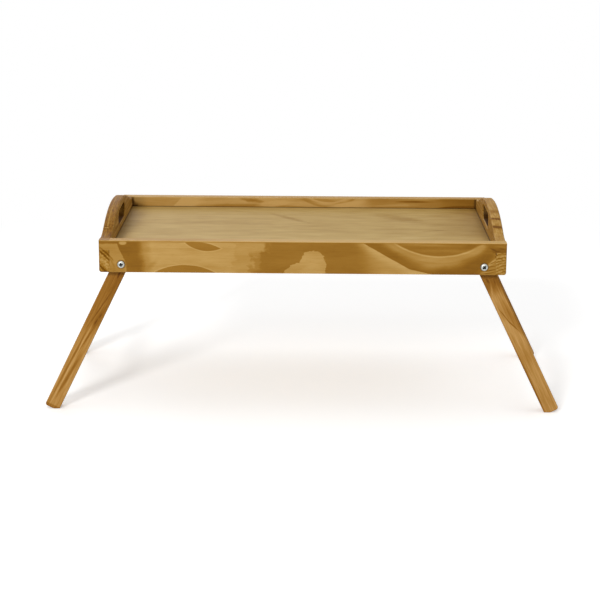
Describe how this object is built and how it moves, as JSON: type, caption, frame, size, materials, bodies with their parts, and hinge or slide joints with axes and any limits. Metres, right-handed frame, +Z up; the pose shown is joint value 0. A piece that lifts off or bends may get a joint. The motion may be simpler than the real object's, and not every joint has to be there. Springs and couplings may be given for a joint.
{
  "type": "bed tray table",
  "caption": "Wooden bed tray with a framed plywood floor, raised ends with hand slots, and splayed leg frames that fold flat underneath.",
  "frame": {"origin": "on the floor under the middle of the tray, with both leg frames opened out", "axes": "+X along the tray's length, to the right as seen from its front; +Y from its front rail to its rear rail; +Z up"},
  "size_m": [0.6462, 0.3066, 0.2439],
  "materials": {
    "front_rail_pine": "brown stained pine, satin varnish",
    "rear_rail_pine": "brown stained pine, satin varnish",
    "end_panel_pine": "brown stained pine, satin varnish",
    "plywood": "pale stained plywood, satin varnish",
    "leg_pine": "brown stained pine, satin varnish",
    "crossbar_beech": "brown stained dowel, satin varnish",
    "zinc_plated_steel": "bright zinc plate"
  },
  "bodies": {
    "tray": {"front_rail": "front_rail_pine", "rear_rail": "rear_rail_pine", "left_end_panel": "end_panel_pine", "right_end_panel": "end_panel_pine", "bottom_panel": "plywood"},
    "left_leg_frame": {"leg_front_left": "leg_pine", "leg_rear_left": "leg_pine", "left_crossbar": "crossbar_beech", "pivot_screw_front_left": "zinc_plated_steel", "pivot_screw_rear_left": "zinc_plated_steel", "washer_front_left": "zinc_plated_steel", "washer_rear_left": "zinc_plated_steel"},
    "right_leg_frame": {"leg_front_right": "leg_pine", "leg_rear_right": "leg_pine", "right_crossbar": "crossbar_beech", "pivot_screw_front_right": "zinc_plated_steel", "pivot_screw_rear_right": "zinc_plated_steel", "washer_front_right": "zinc_plated_steel", "washer_rear_right": "zinc_plated_steel"}
  },
  "joints": [
    {"name": "left_legs_fold", "type": "hinge", "parent": "tray", "child": "left_leg_frame", "pos_m": [-0.22281, 0, 0.19161], "axis": [0, -1, 0], "range_deg": [0, 116]},
    {"name": "right_legs_fold", "type": "hinge", "parent": "tray", "child": "right_leg_frame", "pos_m": [0.22281, 0, 0.19161], "axis": [0, 1, 0], "range_deg": [0, 116]}
  ]
}
